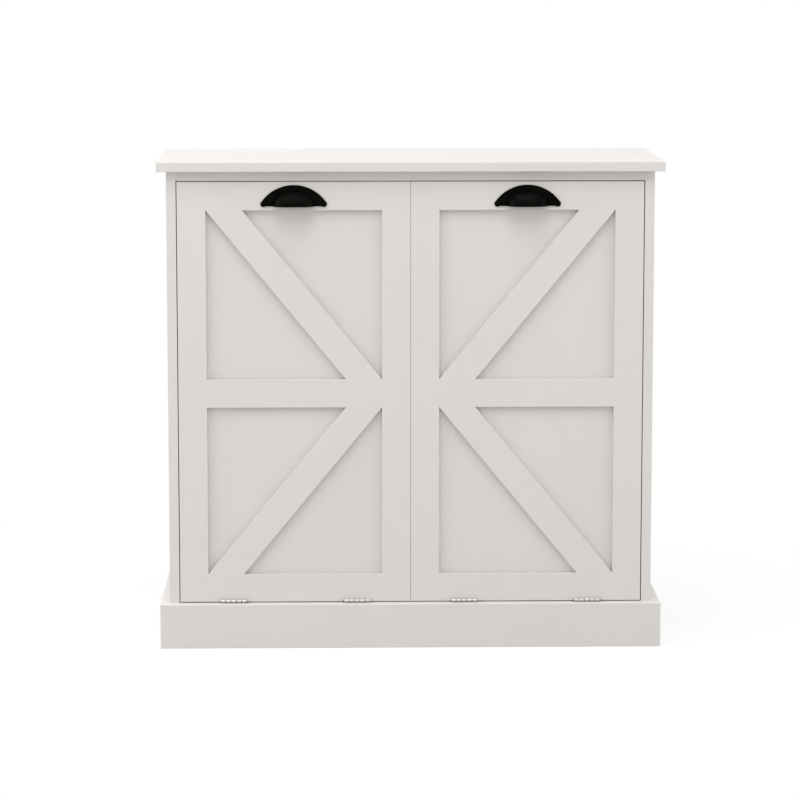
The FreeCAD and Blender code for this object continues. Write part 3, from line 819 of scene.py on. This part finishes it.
    def build(self) -> bpy.types.Object:
        """Makes the screws of the node as one piece in its place.

        Returns:
            The piece, riding on the node's body.
        """
        shape = bmesh.new()
        for blank in self.blanks():
            self.recess(shape, blank, self.turn(shape, blank))
            self.thread(shape, blank)
        bmesh.ops.recalc_face_normals(shape, faces=shape.faces)
        mesh = bpy.data.meshes.new(f"{self.node}_cut")
        shape.to_mesh(mesh)
        shape.free()
        mesh.polygons.foreach_set("use_smooth", [True] * len(mesh.polygons))
        mesh.set_sharp_from_angle(angle=math.radians(self.sharp_deg))
        mesh.materials.append(self.finish.material())
        piece = added(mesh.name, mesh)
        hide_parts(self.node)
        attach(piece, body_of(self.node))
        LOG.info("%s on %s: screws for %s", piece.name, body_of(self.node), self.node)
        return piece


class Side(Enum):
    """The two halves of the cabinet."""

    LEFT = "left"
    RIGHT = "right"

    def of(self, stem: str) -> str:
        """Name of this side's node."""
        return f"{stem}_{self.value}"


@dataclass
class Carcass:
    """Fixed boards of the cabinet, with the fittings in their joints and the pivots of the stays."""

    painted: dict[str, Run] = field(default_factory=lambda: {
        "top_panel": Run.ALONG_X, "side_panel_left": Run.ALONG_Z, "side_panel_right": Run.ALONG_Z,
        "plinth_front": Run.ALONG_X, "plinth_left": Run.ALONG_Y, "plinth_right": Run.ALONG_Y})
    foiled: dict[str, Run] = field(default_factory=lambda: {
        "centre_divider": Run.ALONG_Z, "bottom_panel": Run.ALONG_X, "rear_rail": Run.ALONG_X,
        "plinth_rear": Run.ALONG_X})
    plinth_pitch: float = 0.0018

    def build(self) -> None:
        """Dresses the boards and fittings, and makes the screws of the plinth."""
        for node, run in self.painted.items():
            dress(node, PAINT[run])
        for node, run in self.foiled.items():
            dress(node, FOIL[run])
        dress("front_rail", RAIL_PAINT)
        dress("back_panel", FacedHardboard())
        dress("cam_bolts", CAST_ZINC)
        dress("cam_locks", CAST_ZINC)
        dress("wood_dowels", RawBeech())
        dress("stay_pivots", STEEL)
        CrossScrews("plinth_screws", self.plinth_pitch).build()


@dataclass
class Hinges:
    """Butt hinges under both doors."""

    screw_pitch: float = 0.0011

    def build(self) -> None:
        """Dresses the leaves and pins, and makes the screws."""
        dress("hinge_pins", PIN_STEEL)
        CrossScrews("hinge_base_screws", self.screw_pitch, finish=NICKEL).build()
        for side in Side:
            dress(side.of("hinge_base_leaves"), NICKEL)
            dress(side.of("hinge_door_leaves"), NICKEL)
            CrossScrews(side.of("hinge_door_screws"), self.screw_pitch, finish=NICKEL).build()


@dataclass
class Catches:
    """Magnetic catches under the front rail and the strike plates that meet them."""

    screw_pitch: float = 0.0013

    def build(self) -> None:
        """Dresses the catches and strikes, and makes their screws."""
        dress("catch_magnets", FERRITE)
        dress("catch_pole_plates", STEEL)
        CrossScrews("catch_screws", self.screw_pitch).build()
        for side in Side:
            dress(side.of("catch_housing"), WHITE_PLASTIC)
            dress(side.of("strike_plate"), STEEL)
            CrossScrews(side.of("strike_screws"), self.screw_pitch).build()


@dataclass
class TiltDoor:
    """Braced door with its cup pull and the carrier box on its back."""

    side: Side
    pull_pitch: float = 0.0007
    carrier_pitch: float = 0.0020

    def build(self) -> None:
        """Dresses the door, pull and carrier, and makes their screws."""
        for stem in ("door_panel", "door_overlay"):
            dress(self.side.of(stem), DOOR_PAINT)
        dress(self.side.of("cup_pull"), PowderCoat())
        for stem in ("carrier_cheek_outer", "carrier_cheek_inner", "carrier_rear"):
            dress(self.side.of(stem), FOIL[Run.ALONG_Z])
        dress(self.side.of("carrier_tray"), FOIL[Run.ALONG_X])
        CrossScrews(self.side.of("pull_screws"), self.pull_pitch, Tip.BLUNT).build()
        CrossScrews(self.side.of("carrier_screws"), self.carrier_pitch).build()


@dataclass
class LimitStay:
    """Slotted stay that stops a door, with the stud that it slides on."""

    side: Side

    def build(self) -> None:
        """Dresses the stay and its stud."""
        for stem in ("stay_arm", "stay_stud"):
            dress(self.side.of(stem), STEEL)


@dataclass(frozen=True)
class Softbox:
    """Square lamp with a broad soft face."""

    name: str
    place: Place
    size: float
    power: float

    def build(self, aim: Place) -> None:
        """Hangs the lamp, out of the camera's sight.

        Args:
            aim: point that it shines at.
        """
        light = bpy.data.lights.new(self.name, "AREA")
        light.size = self.size
        light.energy = self.power
        lamp = added(self.name, light)
        lamp.location = self.place
        lamp.rotation_mode = "QUATERNION"
        lamp.rotation_quaternion = (Vector(aim) - Vector(self.place)).to_track_quat("-Z", "Y")
        lamp.visible_camera = False


@dataclass
class Studio:
    """Pale floor, white surroundings and soft lamps."""

    ambient: float = 0.64
    floor_half: float = 4.0
    floor_colour: Colour = (0.90, 0.90, 0.90)
    bounce_colour: Colour = (0.62, 0.62, 0.61)
    shadow_share: float = 0.25
    shadow_reach: Pair = (0.60, 1.30)
    aim: Place = (0.0, 0.0, 0.45)
    lamps: tuple[Softbox, ...] = (
        Softbox("overhead", (-0.3, -0.9, 3.6), 2.0, 14.0),
        Softbox("front_top", (-0.2, -2.0, 3.8), 2.4, 43.5),
        Softbox("left", (-3.4, -1.2, 1.9), 2.2, 43.0),
        Softbox("left_high", (-2.6, 0.0, 2.4), 1.6, 14.0),
        Softbox("right", (3.4, -1.2, 1.9), 2.2, 36.0),
        Softbox("rear_left", (-2.6, 3.6, 1.4), 2.0, 28.0),
        Softbox("rear_right", (2.8, 3.2, 1.4), 2.0, 24.0),
    )

    def surroundings(self) -> None:
        """Makes a world that is plain white to look at and lights the cabinet at its own level."""
        world = bpy.data.worlds.new("studio")
        world.use_nodes = True
        bpy.context.scene.world = world
        graph = Graph(world.node_tree)
        strength = self.ambient + (1 - self.ambient) * graph.seen()
        sky = graph.node("ShaderNodeBackground", {}, {"Color": (*WHITE, 1.0), "Strength": strength})
        graph.node("ShaderNodeOutputWorld", {}, {"Surface": sky})

    def floor(self) -> None:
        """Lays the floor, which keeps the shadow near the cabinet and runs out into white."""
        half = self.floor_half
        level = CAD_BOX[0].z
        corners = [(-half, -half, level), (half, -half, level), (half, half, level), (-half, half, level)]
        mesh = bpy.data.meshes.new("floor")
        mesh.from_pydata(corners, [], [(0, 1, 2, 3)])
        material = bpy.data.materials.new("pale_floor")
        material.use_nodes = True
        graph = Graph(material.node_tree)
        away = graph.node("ShaderNodeVectorMath", {"operation": "LENGTH"}, {0: graph.place()}, "Value")
        white = 1 - self.shadow_share * (1 - graph.span(away, self.shadow_reach))
        colour = graph.blend(graph.seen(), self.bounce_colour, self.floor_colour)
        ground = graph.node("ShaderNodeBsdfDiffuse", {}, {"Color": colour})
        glow = graph.node("ShaderNodeEmission", {}, {"Color": (*WHITE, 1.0), "Strength": 1.0})
        surface = graph.node("ShaderNodeMixShader", {}, {0: white * graph.seen(), 1: ground, 2: glow})
        graph.node("ShaderNodeOutputMaterial", {}, {"Surface": surface})
        mesh.materials.append(material)
        added("floor", mesh)

    def build(self) -> None:
        """Sets up the surroundings, the floor and the lamps."""
        bpy.context.scene.view_settings.view_transform = "Standard"
        self.surroundings()
        self.floor()
        for lamp in self.lamps:
            lamp.build(self.aim)
        LOG.info("studio with %d lamps", len(self.lamps))


@dataclass
class Viewpoint:
    """Camera at the photograph's viewing angle, a little above and left of the cabinet's middle."""

    place: Place = (-0.1297, -5.4530, 1.2618)
    down_deg: float = 7.656
    right_deg: float = 1.196
    lens_mm: float = 135.0
    shift_up: float = -0.07

    def build(self) -> None:
        """Sets up the camera."""
        data = bpy.data.cameras.new("camera")
        data.lens = self.lens_mm
        data.shift_y = self.shift_up
        camera = added("camera", data)
        camera.location = self.place
        camera.rotation_euler = (math.radians(90 - self.down_deg), 0.0, math.radians(-self.right_deg))
        bpy.context.scene.camera = camera


def main() -> None:
    """Builds the camera and studio, then dresses the cabinet from the carcass out."""
    logging.basicConfig(level=logging.INFO, format="%(message)s")
    Viewpoint().build()
    Studio().build()
    Carcass().build()
    Hinges().build()
    Catches().build()
    for side in Side:
        TiltDoor(side).build()
        LimitStay(side).build()


if __name__ == "__main__":
    main()
